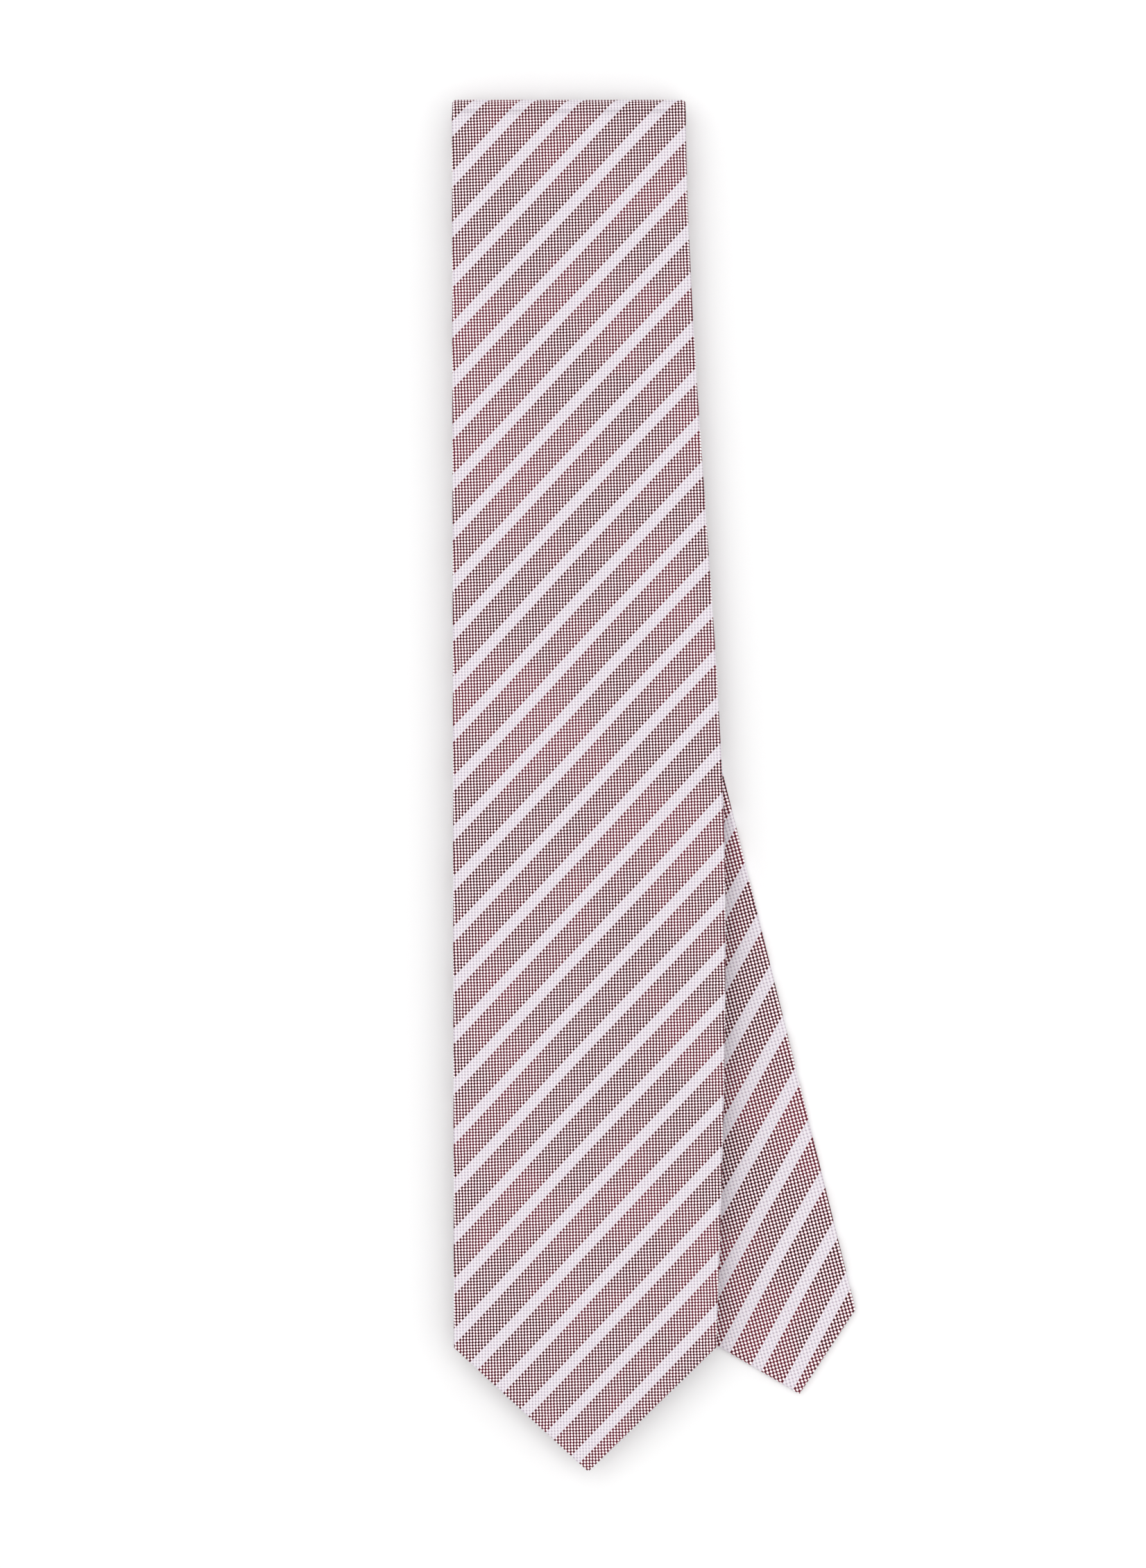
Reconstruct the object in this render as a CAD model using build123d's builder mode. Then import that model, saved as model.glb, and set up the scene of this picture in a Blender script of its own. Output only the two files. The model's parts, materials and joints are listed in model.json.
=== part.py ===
from build123d import *
from dataclasses import dataclass
from math import cos, radians, sin, sqrt, tan
import os

os.makedirs("parts", exist_ok=True)

# A bias-cut necktie, pressed flat, folded up and laid face up on a table.
# From the top down it lies in five runs: the wide blade, the blade's neck (face down),
# the neck band (the short run across, face up), the tail's neck (face down) and the
# tail (face up), which fans out to the right from under the blade.

# --- cloth -------------------------------------------------------------------------
silk = 0.4            # shell silk, one layer pressed
lining = 0.3          # tipping behind the points
wadding = 1.3         # wool interlining in the blade and the tail
strand = silk + wadding + lining + silk   # one run of the tie, front to back
layer_gap = 0.2       # air between two runs that lie on each other
hinge_gap = 0.1       # a run that turns stops this short of its crease
filling_gap = 0.1     # interlining and tipping clear the shell's sides by this
overrun = 2.0         # cuts run on past the ends of the cloth by this
half_miter = tan(radians(22.5))  # half the turn at the corners of a right-angled point

# --- wide blade --------------------------------------------------------------------
blade_width = 80.4    # across the corners of the point
blade_length = 422.3  # top fold to tip
blade_point = 38.3    # corners to tip
fold_width = 71.6     # at the top fold
shoulder_width = 77.5
shoulder_at = 123.0
swell_width = 83.5
swell_at = 228.0
widest = 83.7
widest_at = 285.0
edge_lean = 0.6       # the left edge runs this far in from top to point
tip_lean = 1.0        # the tip lies this far right of the blade's middle

# --- neck --------------------------------------------------------------------------
neck_width = 34.4
neck_gap = 1.6        # between the two neck runs, side by side
neck_inset = 1.5      # tail's neck in from the blade's left edge
turn_above_tip = 97.3  # middle of the turn, above the blade's tip
taper_at = 40.0       # the blade's neck reaches neck_width this far above the turn
taper_run_shares = (0.4, 0.75)    # places along that taper,
taper_left_shares = (0.62, 0.93)  # and how far in its left edge has come by then
loop_room = 2.4       # height between the blade and its neck, for the keeper loop

# --- tail --------------------------------------------------------------------------
tail_width = 45.2
tail_length = 391.2   # fold to tip
tail_point = 21.4
tail_fold_at = 18.0   # middle of the tail's fold, below the top fold
fan_angle = 13.05     # the tail's swing to the right
tail_clearance = 1.0  # the tail's neck starts to come down this far past the tail
drop_run = 85.0       # over this length the tail's neck comes down to the table

# --- sewing ------------------------------------------------------------------------
hem = 7.0             # silk turned over the edges of a point
flap_rise = 1.1       # slope of the flaps' lower edges
lining_reach = 130.0  # blade tip to the tipping's upper edge
tail_lining_reach = 85.0
seam_width = 1.2      # the open seam between the two back flaps
stitch_length = 3.6
stitch_pitch = 12.0
thread = 0.4
tack_size = (9.0, 1.6)  # bar tack that closes the flaps
tack_above = 3.0      # above the meeting point of the flaps
piecing_above_turn = 90.0
piecing_pitch = 3.0
piecing_stitch = 2.4
piecing_share = 0.9   # of the neck's width, sewn
piecing_depth = 0.2
groove_share = 1.2    # the groove for them runs out at both sides
groove_width = 0.6
edge_stitch = 2.0     # stitches round the labels
edge_pitch = 2.8
edge_inset = 1.5
foot_stitch = 1.8     # stitches through the loop's feet
foot_pitch = 2.5

# --- pieces sewn to the blade's back -----------------------------------------------
loop_size = (60.0, 12.0)
loop_cloth = 0.6
loop_slack = 1.0      # the loop stands off the back by this much
loop_foot = 6.0       # length of each sewn end
loop_above_tip = 190.0
label_size = (48.0, 20.0)
label_cloth = 0.4
label_above_loop = 22.0
care_size = (20.0, 24.0)
care_cloth = 0.25
care_above_tip = 42.3   # middle of the care label
care_clearance = 0.03

# --- levels and places that follow ----------------------------------------------------
neck_level = strand + layer_gap
upper_level = neck_level + strand + layer_gap
blade_level = upper_level + strand + loop_room
fold_radius = loop_room / 2 + strand
pressed_radius = layer_gap / 2 + strand
corner_at = blade_length - blade_point
turn_at = blade_length - turn_above_tip
tail_neck_x = neck_inset + neck_width / 2
blade_neck_x = tail_neck_x + neck_width + neck_gap
half_neck = neck_width / 2
fan = radians(fan_angle)
tail_corner_x = (
    tail_neck_x + (tail_length - tail_point) * sin(fan) + tail_width / 2 * cos(fan)
)
# The sheet is the laid tie's own frame: its origin is the upper left corner on the
# table, x runs to the right and y up.
sheet = Plane(origin=(-tail_corner_x / 2, blade_length / 2, 0))


def place(x, y, z=0.0, turn=0.0):
    """A level plane on the sheet, turned about the vertical."""
    return Plane(
        origin=sheet.from_local_coords((x, y, z)),
        x_dir=(cos(radians(turn)), sin(radians(turn)), 0),
        z_dir=(0, 0, 1),
    )


@dataclass
class Run:
    """One flat run of the tie. Its edges are listed from the upper end down."""

    plane: Plane
    levels: list
    left: list
    right: list
    point: tuple = None
    face_up: bool = True

    def middle(self):
        return [((a + c) / 2, (b + d) / 2) for (a, b), (c, d) in zip(self.left, self.right)]


def moved_in(end, other, inset):
    """A point moved along a slanted end by an inset measured across the run."""
    share = inset / abs(other[0] - end[0])
    return (end[0] + share * (other[0] - end[0]), end[1] + share * (other[1] - end[1]))


def end_line(a, b, shift):
    """The end of a run between its two edges, run straight on by a shift along y."""
    if shift:
        Polyline(a, (a[0], a[1] + shift), (b[0], b[1] + shift), b)
    else:
        Line(a, b)


def plan(run, inset=0.0, run_on=0.0):
    """The run seen from above, its sides moved in and its creased ends run on."""
    left = [(x + inset, y) for x, y in run.left]
    right = [(x - inset, y) for x, y in run.right]
    for end in (0, -1):
        left[end] = moved_in(run.left[end], run.right[end], inset)
        right[end] = moved_in(run.right[end], run.left[end], inset)
    if run.point:
        rise = inset * half_miter
        left[-1] = (left[-1][0], left[-1][1] + rise)
        right[-1] = (right[-1][0], right[-1][1] + rise)
        tip = (run.point[0], run.point[1] + inset * sqrt(2))
    with BuildSketch(mode=Mode.PRIVATE) as view:
        with BuildLine():
            end_line(left[0], right[0], run_on)
            Spline(*left)
            Spline(*right)
            if run.point:
                Polyline(left[-1], tip, right[-1])
            else:
                end_line(left[-1], right[-1], -run_on)
        make_face()
    return view.sketch


def patch(*corners):
    """A plain polygon."""
    with BuildSketch(mode=Mode.PRIVATE) as view:
        with BuildLine():
            Polyline(*corners, close=True)
        make_face()
    return view.sketch


def rectangles(places, size, turn=0.0):
    """Equal rectangles, one at each place."""
    with BuildSketch(mode=Mode.PRIVATE) as view:
        with Locations(*places):
            Rectangle(*size, rotation=turn)
    return view.sketch


def slab(run, view, low, high, mode=Mode.ADD):
    """Cloth between two depths, measured from the run's back, following its levels."""
    if not run.face_up:
        low, high = strand - high, strand - low
    reach = 2 * blade_length
    side = Plane(
        origin=run.plane.from_local_coords((-reach / 2, 0, 0)),
        x_dir=run.plane.y_dir,
        z_dir=run.plane.x_dir,
    )
    with BuildPart(mode=Mode.PRIVATE) as band:
        with BuildSketch(side):
            with BuildLine():
                lower = [(y, z + low) for y, z in run.levels]
                upper = [(y, z + high) for y, z in reversed(run.levels)]
                Polyline(*lower, *upper, close=True)
            make_face()
        extrude(amount=reach)
        with BuildSketch(run.plane.offset(-2 * strand)):
            add(view)
        extrude(amount=blade_level + 4 * strand, mode=Mode.INTERSECT)
    add(band.part, mode=mode)


def on_middle(run, y):
    """The point of the run's centre line at a given height on the sheet."""
    line = run.middle()
    for (ax, ay), (bx, by) in zip(line, line[1:]):
        if by <= y <= ay:
            return (ax + (bx - ax) * (ay - y) / (ay - by), y)
    return (line[-1][0], y)


def flap_meeting(run):
    """Where the lower edges of the two back flaps meet, above the point."""
    (ax, ay), (bx, by) = run.left[-1], run.right[-1]
    return ((ax + bx) / 2, (ay + by) / 2 + flap_rise * (bx - ax) / 2)


def point_opening(run):
    """The diamond behind a point where the tipping shows."""
    (ax, ay), (bx, by) = run.left[-1], run.right[-1]
    rise = hem * half_miter
    tip = (run.point[0], run.point[1] + hem * sqrt(2))
    return patch((ax + hem, ay + rise), tip, (bx - hem, by + rise), flap_meeting(run))


def seam_end(run):
    return flap_meeting(run)[1] if run.point else run.middle()[-1][1]


def seam(run):
    """The gap between the back flaps, from the run's upper end down."""
    top, bottom = run.middle()[0][1], seam_end(run)
    bends = [y for _, y in run.middle()[1:-1] if y > bottom]
    ys = [top + overrun, top, *bends, bottom, bottom - overrun]
    line = [(on_middle(run, min(max(y, bottom), top))[0], y) for y in ys]
    half = seam_width / 2
    return patch(*[(x - half, y) for x, y in line], *[(x + half, y) for x, y in reversed(line)])


def stitch_places(run):
    """Centres of the slip stitches in the seam."""
    top = run.middle()[0][1] - stitch_pitch
    clear = tack_above + stitch_pitch if run.point else stitch_pitch
    count = int((top - seam_end(run) - clear) / stitch_pitch)
    return [on_middle(run, top - k * stitch_pitch) for k in range(max(count, 1))]


def tack_place(run):
    x, y = flap_meeting(run)
    return (x, y + tack_above)


def piecing_places(run):
    """Points on the slanted seam where two lengths of the shell are joined."""
    middle = on_middle(run, -(turn_at - piecing_above_turn))
    count = int(neck_width * piecing_share / piecing_pitch)
    offsets = [(k - (count - 1) / 2) * piecing_pitch for k in range(count)]
    return [(middle[0] + d, middle[1] + d) for d in offsets]


def make_shell(name, run, pieced=False):
    """The silk: a flat tube, its back closed by two flaps, open behind a point."""
    with BuildPart() as shell:
        slab(run, plan(run), 0, strand)
        slab(run, plan(run, inset=silk, run_on=overrun), silk, strand - silk, Mode.SUBTRACT)
        slab(run, seam(run), 0, silk, Mode.SUBTRACT)
        if run.point:
            slab(run, point_opening(run), 0, silk, Mode.SUBTRACT)
            slab(run, rectangles([tack_place(run)], tack_size), 0, silk, Mode.SUBTRACT)
        if pieced:
            places = piecing_places(run)
            size = (neck_width * groove_share, groove_width)
            groove = rectangles([places[0], places[-1]], size, turn=45)
            slab(run, groove, strand - piecing_depth, strand, Mode.SUBTRACT)
    save(name, shell)


def make_interlining(name, run, thickness):
    """The wool strip that fills the tube, lying on the front silk."""
    with BuildPart() as strip:
        slab(run, plan(run, inset=silk + filling_gap), strand - silk - thickness, strand - silk)
    save(name, strip)


def make_tipping(name, run, reach):
    """The lining behind a point, under the flaps and the hem."""
    low = run.point[1]
    far = blade_length
    above = patch((-far, low + reach), (far, low + reach), (far, low - far), (-far, low - far))
    with BuildPart() as tipping:
        slab(run, plan(run, inset=silk + filling_gap), silk, silk + lining)
        slab(run, above, silk, silk + lining, Mode.INTERSECT)
    save(name, tipping)


def make_slip_stitch(name, run):
    """The long loose stitches that draw the two flaps together."""
    with BuildPart() as stitches:
        slab(run, rectangles(stitch_places(run), (thread, stitch_length)), 0, silk)
    save(name, stitches)


def make_bar_tack(name, run):
    with BuildPart() as tack:
        slab(run, rectangles([tack_place(run)], tack_size), 0, silk)
    save(name, tack)


def make_piecing_stitches(name, run):
    """The seam thread where the neck's silk is joined on, sunk in the front."""
    view = rectangles(piecing_places(run), (piecing_stitch, thread), turn=45)
    with BuildPart() as stitches:
        slab(run, view, strand - piecing_depth, strand)
    save(name, stitches)


def half_ring(crease, inner, outer, start, end):
    """A half tube about the crease, bulging away from the runs, between two stations."""
    across = Plane(
        origin=crease.from_local_coords((start, 0, 0)),
        x_dir=crease.y_dir,
        z_dir=crease.x_dir,
    )
    with BuildSketch(across, mode=Mode.PRIVATE) as section:
        Circle(outer)
        Circle(inner, mode=Mode.SUBTRACT)
        Rectangle(2 * outer, 2 * outer, align=(Align.MIN, Align.CENTER), mode=Mode.INTERSECT)
    extrude(section.sketch, amount=end - start)


def make_fold(name, crease, radius, length, front_outside):
    """The bend that joins two runs: front silk, the two flaps and the interlining."""
    inside = radius - strand
    front = radius - silk if front_outside else inside
    flaps = inside if front_outside else radius - silk
    with BuildPart() as shell:
        half_ring(crease, front, front + silk, -length / 2, length / 2)
        half_ring(crease, flaps, flaps + silk, -length / 2, -seam_width / 2)
        half_ring(crease, flaps, flaps + silk, seam_width / 2, length / 2)
    save(f"{name}_shell", shell)
    with BuildPart() as strip:
        half_ring(crease, inside + silk, radius - silk, silk - length / 2, length / 2 - silk)
    save(f"{name}_interlining", strip)


def save(name, built):
    built.part.label = name
    export_step(built.part, f"parts/{name}.step")


# --- the five runs ---------------------------------------------------------------------
top = -fold_radius
blade_right = [
    (fold_width, top - hinge_gap),
    (shoulder_width, -shoulder_at),
    (swell_width, -swell_at),
    (widest, -widest_at),
    (edge_lean + blade_width, -corner_at),
]
blade = Run(
    plane=place(0, 0),
    levels=[(blade_length, blade_level), (-2 * blade_length, blade_level)],
    left=[(-edge_lean * y / corner_at, y) for _, y in blade_right],
    right=blade_right,
    point=(edge_lean + blade_width / 2 + tip_lean, -blade_length),
)

turn_gap = hinge_gap * sqrt(2)
neck_left = blade_neck_x - half_neck
neck_right = blade_neck_x + half_neck
taper_end = turn_at - taper_at
taper_run = taper_end + top
taper = list(zip(taper_run_shares, taper_left_shares))
blade_neck = Run(
    plane=place(0, 0),
    levels=[(blade_length, upper_level), (-2 * blade_length, upper_level)],
    left=[
        (0, top),
        *[(neck_left * lead, top - taper_run * share) for share, lead in taper],
        (neck_left, -taper_end),
        (neck_left, -turn_at - half_neck + turn_gap),
    ],
    right=[
        (fold_width, top),
        *[
            (fold_width + (neck_right - fold_width) * share, top - taper_run * share)
            for share in taper_run_shares
        ],
        (neck_right, -taper_end),
        (neck_right, -turn_at + half_neck + turn_gap),
    ],
    face_up=False,
)

half_turn = (neck_width + neck_gap) / 2
neck_band = Run(
    plane=place((tail_neck_x + blade_neck_x) / 2, -turn_at, turn=-90),
    levels=[(blade_length, neck_level), (-blade_length, neck_level)],
    left=[(-half_neck, half_turn + half_neck), (-half_neck, turn_gap - half_turn - half_neck)],
    right=[(half_neck, half_turn - half_neck), (half_neck, turn_gap - half_turn + half_neck)],
)

crease_rise = half_neck * tan(fan / 2)
tail_taper = (tail_width - neck_width) / 2 / (tail_length - tail_point)
side_reach = half_neck + tail_clearance + half_neck * cos(fan)
clear_of_tail = side_reach / (sin(fan) - tail_taper * cos(fan))
drop_at = tail_fold_at + clear_of_tail * cos(fan) + half_neck * sin(fan)
tail_neck = Run(
    plane=place(tail_neck_x, 0),
    levels=[
        (blade_length, neck_level),
        (-drop_at, neck_level),
        (-drop_at - drop_run, 0),
        (-2 * blade_length, 0),
    ],
    left=[
        (-half_neck, -tail_fold_at - crease_rise - hinge_gap),
        (-half_neck, -turn_at + half_neck),
    ],
    right=[
        (half_neck, -tail_fold_at + crease_rise - hinge_gap),
        (half_neck, -turn_at - half_neck),
    ],
    face_up=False,
)

tail = Run(
    plane=place(tail_neck_x, -tail_fold_at, turn=fan_angle),
    levels=[(blade_length, 0), (-2 * blade_length, 0)],
    left=[(-half_neck, crease_rise), (-tail_width / 2, tail_point - tail_length)],
    right=[(half_neck, -crease_rise), (tail_width / 2, tail_point - tail_length)],
    point=(0, -tail_length),
)

neck_wadding = wadding + lining
make_shell("blade_shell", blade)
make_interlining("blade_interlining", blade, wadding)
make_tipping("blade_tipping", blade, lining_reach)
make_slip_stitch("blade_slip_stitch", blade)
make_bar_tack("blade_bar_tack", blade)
make_shell("blade_neck_shell", blade_neck, pieced=True)
make_interlining("blade_neck_interlining", blade_neck, neck_wadding)
make_slip_stitch("blade_neck_slip_stitch", blade_neck)
make_piecing_stitches("blade_piecing_stitches", blade_neck)
make_shell("neck_band_shell", neck_band)
make_interlining("neck_band_interlining", neck_band, neck_wadding)
make_slip_stitch("neck_band_slip_stitch", neck_band)
make_shell("tail_neck_shell", tail_neck, pieced=True)
make_interlining("tail_neck_interlining", tail_neck, neck_wadding)
make_slip_stitch("tail_neck_slip_stitch", tail_neck)
make_piecing_stitches("tail_piecing_stitches", tail_neck)
make_shell("tail_shell", tail)
make_interlining("tail_interlining", tail, wadding)
make_tipping("tail_tipping", tail, tail_lining_reach)
make_slip_stitch("tail_slip_stitch", tail)
make_bar_tack("tail_bar_tack", tail)

# --- the four folds --------------------------------------------------------------------
top_axis = blade_level - loop_room / 2
turn_length = neck_width * sqrt(2)
make_fold(
    "top_fold", place(fold_width / 2, top, top_axis), fold_radius, fold_width, True
)
make_fold(
    "tail_fold",
    place(tail_neck_x, -tail_fold_at, strand + layer_gap / 2, turn=fan_angle / 2),
    pressed_radius,
    neck_width / cos(fan / 2),
    False,
)
make_fold(
    "tail_turn",
    place(tail_neck_x, -turn_at, strand + layer_gap / 2, turn=135),
    pressed_radius,
    turn_length,
    True,
)
make_fold(
    "blade_turn",
    place(blade_neck_x, -turn_at, upper_level - layer_gap / 2, turn=225),
    pressed_radius,
    turn_length,
    False,
)

# --- pieces sewn to the blade's back -----------------------------------------------------
loop_y = loop_above_tip - blade_length
loop_x = on_middle(blade, loop_y)[0]
with BuildPart() as keeper_loop:
    # The strap runs across the back: flat feet, and a stretch that stands off between.
    across = Plane(
        origin=sheet.from_local_coords((loop_x, loop_y + loop_size[1] / 2, blade_level)),
        x_dir=(1, 0, 0),
        z_dir=(0, -1, 0),
    )
    end = loop_size[0] / 2
    knee = end - loop_foot
    bow = knee - loop_foot
    course = [(-end, 0), (-knee, 0), (-bow, -loop_slack), (bow, -loop_slack), (knee, 0), (end, 0)]
    with BuildSketch(across):
        with BuildLine():
            Polyline(*course, *[(x, z - loop_cloth) for x, z in reversed(course)], close=True)
        make_face()
    extrude(amount=loop_size[1])
save("keeper_loop", keeper_loop)

with BuildPart() as keeper_loop_stitches:
    foot = loop_size[0] / 2 - loop_foot / 2
    with BuildSketch(place(loop_x, loop_y, blade_level - loop_cloth)):
        for side in (-1, 1):
            with Locations((side * foot, 0)):
                with GridLocations(0, foot_pitch, 1, int(loop_size[1] / foot_pitch)):
                    Rectangle(thread, foot_stitch)
    extrude(amount=-thread / 2)
save("keeper_loop_stitches", keeper_loop_stitches)

label_y = loop_y + label_above_loop
label_x = on_middle(blade, label_y)[0]
with BuildPart() as maker_label:
    with BuildSketch(place(label_x, label_y, blade_level)):
        Rectangle(*label_size)
    extrude(amount=-label_cloth)
save("maker_label", maker_label)

with BuildPart() as maker_label_stitches:
    with BuildSketch(place(label_x, label_y, blade_level - label_cloth)):
        rows = int((label_size[1] - edge_stitch) / edge_pitch)
        with GridLocations(label_size[0] - 2 * edge_inset, edge_pitch, 2, rows):
            Rectangle(thread, edge_stitch)
    extrude(amount=-thread / 2)
save("maker_label_stitches", maker_label_stitches)

care_y = care_above_tip - blade_length
care_x = blade.point[0]
care_top = blade_level + silk - care_clearance
with BuildPart() as care_label:
    with BuildSketch(place(care_x, care_y, care_top)):
        Rectangle(*care_size)
    extrude(amount=-care_cloth)
save("care_label", care_label)

with BuildPart() as care_label_stitches:
    edge = care_y + care_size[1] / 2 + care_cloth + hinge_gap + thread / 2
    with BuildSketch(place(care_x, edge, blade_level + silk)):
        with GridLocations(edge_pitch, 0, int(care_size[0] / edge_pitch), 1):
            Rectangle(edge_stitch, thread)
    extrude(amount=-care_cloth)
save("care_label_stitches", care_label_stitches)
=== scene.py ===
import json
import math

import bpy
from mathutils import Matrix, Vector, noise
from mathutils.bvhtree import BVHTree


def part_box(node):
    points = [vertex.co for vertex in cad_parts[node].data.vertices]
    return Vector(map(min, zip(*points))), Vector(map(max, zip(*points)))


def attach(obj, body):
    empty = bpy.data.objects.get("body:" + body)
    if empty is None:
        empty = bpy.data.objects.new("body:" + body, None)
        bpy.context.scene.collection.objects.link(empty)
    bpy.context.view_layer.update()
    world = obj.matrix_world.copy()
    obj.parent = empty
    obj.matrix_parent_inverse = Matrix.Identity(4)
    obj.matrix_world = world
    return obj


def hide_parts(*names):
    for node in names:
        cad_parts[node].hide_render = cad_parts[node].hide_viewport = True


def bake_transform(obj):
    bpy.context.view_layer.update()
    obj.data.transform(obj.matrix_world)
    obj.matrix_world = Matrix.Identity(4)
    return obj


# A folded necktie on a pale table, in metres. Its five runs of cloth lie on each other, joined by
# four pressed folds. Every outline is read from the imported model, and the creases from its joints.

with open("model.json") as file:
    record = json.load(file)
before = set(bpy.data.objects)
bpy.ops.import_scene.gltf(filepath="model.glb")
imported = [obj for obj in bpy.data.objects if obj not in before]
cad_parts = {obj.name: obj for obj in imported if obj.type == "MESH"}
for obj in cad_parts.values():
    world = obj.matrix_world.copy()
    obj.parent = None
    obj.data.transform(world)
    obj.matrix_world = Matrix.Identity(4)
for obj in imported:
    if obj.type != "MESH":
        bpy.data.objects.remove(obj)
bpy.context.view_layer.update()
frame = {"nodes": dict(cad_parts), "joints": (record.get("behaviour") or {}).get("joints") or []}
NODES = frame["nodes"]
JOINTS = {j["name"]: j for j in frame["joints"]}
MM = 0.001

# Cloth.
HALF = 1.05 * MM             # from the middle of a run to the middle of its silk
SILK = 0.3 * MM              # thickness of the silk
ROLL = 1.5 * MM              # the silk turns over an edge within this distance
EDGE_STEPS = [0.0, 0.12 * MM, 0.4 * MM, 0.85 * MM, 1.5 * MM, 3.0 * MM]
COLUMN = 2.6 * MM            # spacing of the cloth's columns and rows
HEM = 7.0 * MM               # silk turned in behind the point
FLAP_RISE = 1.1              # slope of the flaps' lower edges
SEAM_LAP = 1.2 * MM          # the upper flap covers the lower one by this
UNDER = 0.38 * MM            # depth of a layer that lies under another
HINGE_GAP = 0.2 * MM         # a run stops this short of its crease
POINT_DROOP = 2.4 * MM       # the blade's free end hangs by this
POINT_DROOP_RUN = 54 * MM    # over this much of its length
POINT_SLANT = 1.42           # height above a point's edge for each unit of inset from it
THREAD_RADIUS = 0.16 * MM    # sewing thread
SLIP_LEAD = 1.0 * MM         # a slip stitch starts this far before the seam
SLIP_CATCH = 0.8 * MM        # and ends this far beyond it
SLIP_RISE = 1.5 * MM         # half its length along the seam
PIECING_HALF = 0.9 * MM      # half a piecing stitch, along each axis
STITCH_PITCH = 12.0 * MM
TACK_ABOVE = 3.0 * MM
TACK_LENGTH = 9.0 * MM
BLADE_POINT = 38.3 * MM
TAIL_POINT = 21.4 * MM

# Weave: threads of one pitch, and stripes of dark and light warp threads.
THREAD = 0.6629 * MM
TAIL_THREAD = 0.759 * MM
LIGHT_THREADS = 5
DARK_THREADS = 11
TAIL_DARK_THREADS = 10
STRIPE_ANGLE = math.radians(46.8)
STRIPE_AT = (-0.24 * MM, 0.68 * MM)      # a light stripe's middle, from the top fold's middle
TAIL_STRIPE_AT = (14.3 * MM, -303.1 * MM)  # the same on the tail, in its own directions


# ---------------------------------------------------------------- node materials

class Graph:
    """A small helper that writes a material's nodes as expressions."""

    def __init__(self, name):
        self.material = bpy.data.materials.new(name)
        self.material.use_nodes = True
        self.nodes = self.material.node_tree.nodes
        self.links = self.material.node_tree.links
        self.shader = self.nodes["Principled BSDF"]

    def put(self, socket, value):
        if isinstance(value, bpy.types.NodeSocket):
            self.links.new(value, socket)
        elif value is not None:
            socket.default_value = value

    def math(self, operation, a, b=None, c=None, clamp=False):
        node = self.nodes.new("ShaderNodeMath")
        node.operation = operation
        node.use_clamp = clamp
        for socket, value in zip(node.inputs, (a, b, c)):
            self.put(socket, value)
        return node.outputs[0]

    def smooth(self, value, low, high):
        """0 below low, 1 above high, eased between."""
        node = self.nodes.new("ShaderNodeMapRange")
        node.interpolation_type = "SMOOTHSTEP"
        self.put(node.inputs["Value"], value)
        node.inputs["From Min"].default_value = low
        node.inputs["From Max"].default_value = high
        return node.outputs[0]

    def mix(self, share, a, b):
        node = self.nodes.new("ShaderNodeMix")
        node.data_type = "RGBA"
        self.put(node.inputs[0], share)
        self.put(node.inputs[6], a)
        self.put(node.inputs[7], b)
        return node.outputs[2]

    def noise(self, vector, scale, detail=2.0, roughness=0.5):
        node = self.nodes.new("ShaderNodeTexNoise")
        self.put(node.inputs["Vector"], vector)
        node.inputs["Scale"].default_value = scale
        node.inputs["Detail"].default_value = detail
        node.inputs["Roughness"].default_value = roughness
        return node.outputs["Fac"]

    def cloth_uv(self):
        """The position on the flat cloth, in metres."""
        node = self.nodes.new("ShaderNodeUVMap")
        node.uv_map = "cloth"
        return node.outputs[0]

    def split(self, vector):
        node = self.nodes.new("ShaderNodeSeparateXYZ")
        self.put(node.inputs[0], vector)
        return node.outputs[0], node.outputs[1]

    def bump(self, height, strength, distance):
        node = self.nodes.new("ShaderNodeBump")
        self.put(node.inputs["Height"], height)
        node.inputs["Strength"].default_value = strength
        node.inputs["Distance"].default_value = distance
        self.links.new(node.outputs[0], self.shader.inputs["Normal"])

    def finish(self, color, roughness, sheen=0.0, specular=0.3):
        self.put(self.shader.inputs["Base Color"], color)
        self.put(self.shader.inputs["Roughness"], roughness)
        self.shader.inputs["Sheen Weight"].default_value = sheen
        self.shader.inputs["Sheen Roughness"].default_value = 0.4
        self.shader.inputs["Specular IOR Level"].default_value = specular
        return self.material


def rgb(r, g, b):
    """A colour given as it looks on screen, 0 to 255."""
    return tuple(((c / 255 + 0.055) / 1.055) ** 2.4 if c > 10 else c / 255 / 12.92
                 for c in (r, g, b)) + (1.0,)


def threads(g, uv, angle, through, pitch):
    """Thread numbers along and across the warp, and the position within one crossing."""
    s, t = g.split(uv)
    s = g.math("SUBTRACT", s, through[0])
    t = g.math("SUBTRACT", t, through[1])
    c, d = math.cos(angle) / pitch, math.sin(angle) / pitch
    along = g.math("MULTIPLY_ADD", s, c, g.math("MULTIPLY", t, d))
    across = g.math("MULTIPLY_ADD", t, c, g.math("MULTIPLY", s, -d))
    return along, across


def cells(g, value):
    """The whole part of a thread count, and the rest from -0.5 to 0.5."""
    whole = g.math("FLOOR", value)
    return whole, g.math("SUBTRACT", g.math("SUBTRACT", value, whole), 0.5)


def oval(g, x, y, rx, ry):
    """Distance from a crossing's middle, 1 on an oval of those radii."""
    x = g.math("MULTIPLY", x, 1 / rx)
    y = g.math("MULTIPLY", y, 1 / ry)
    square = g.math("MULTIPLY_ADD", x, x, g.math("MULTIPLY", y, y))
    return g.math("SQRT", square)


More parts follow.
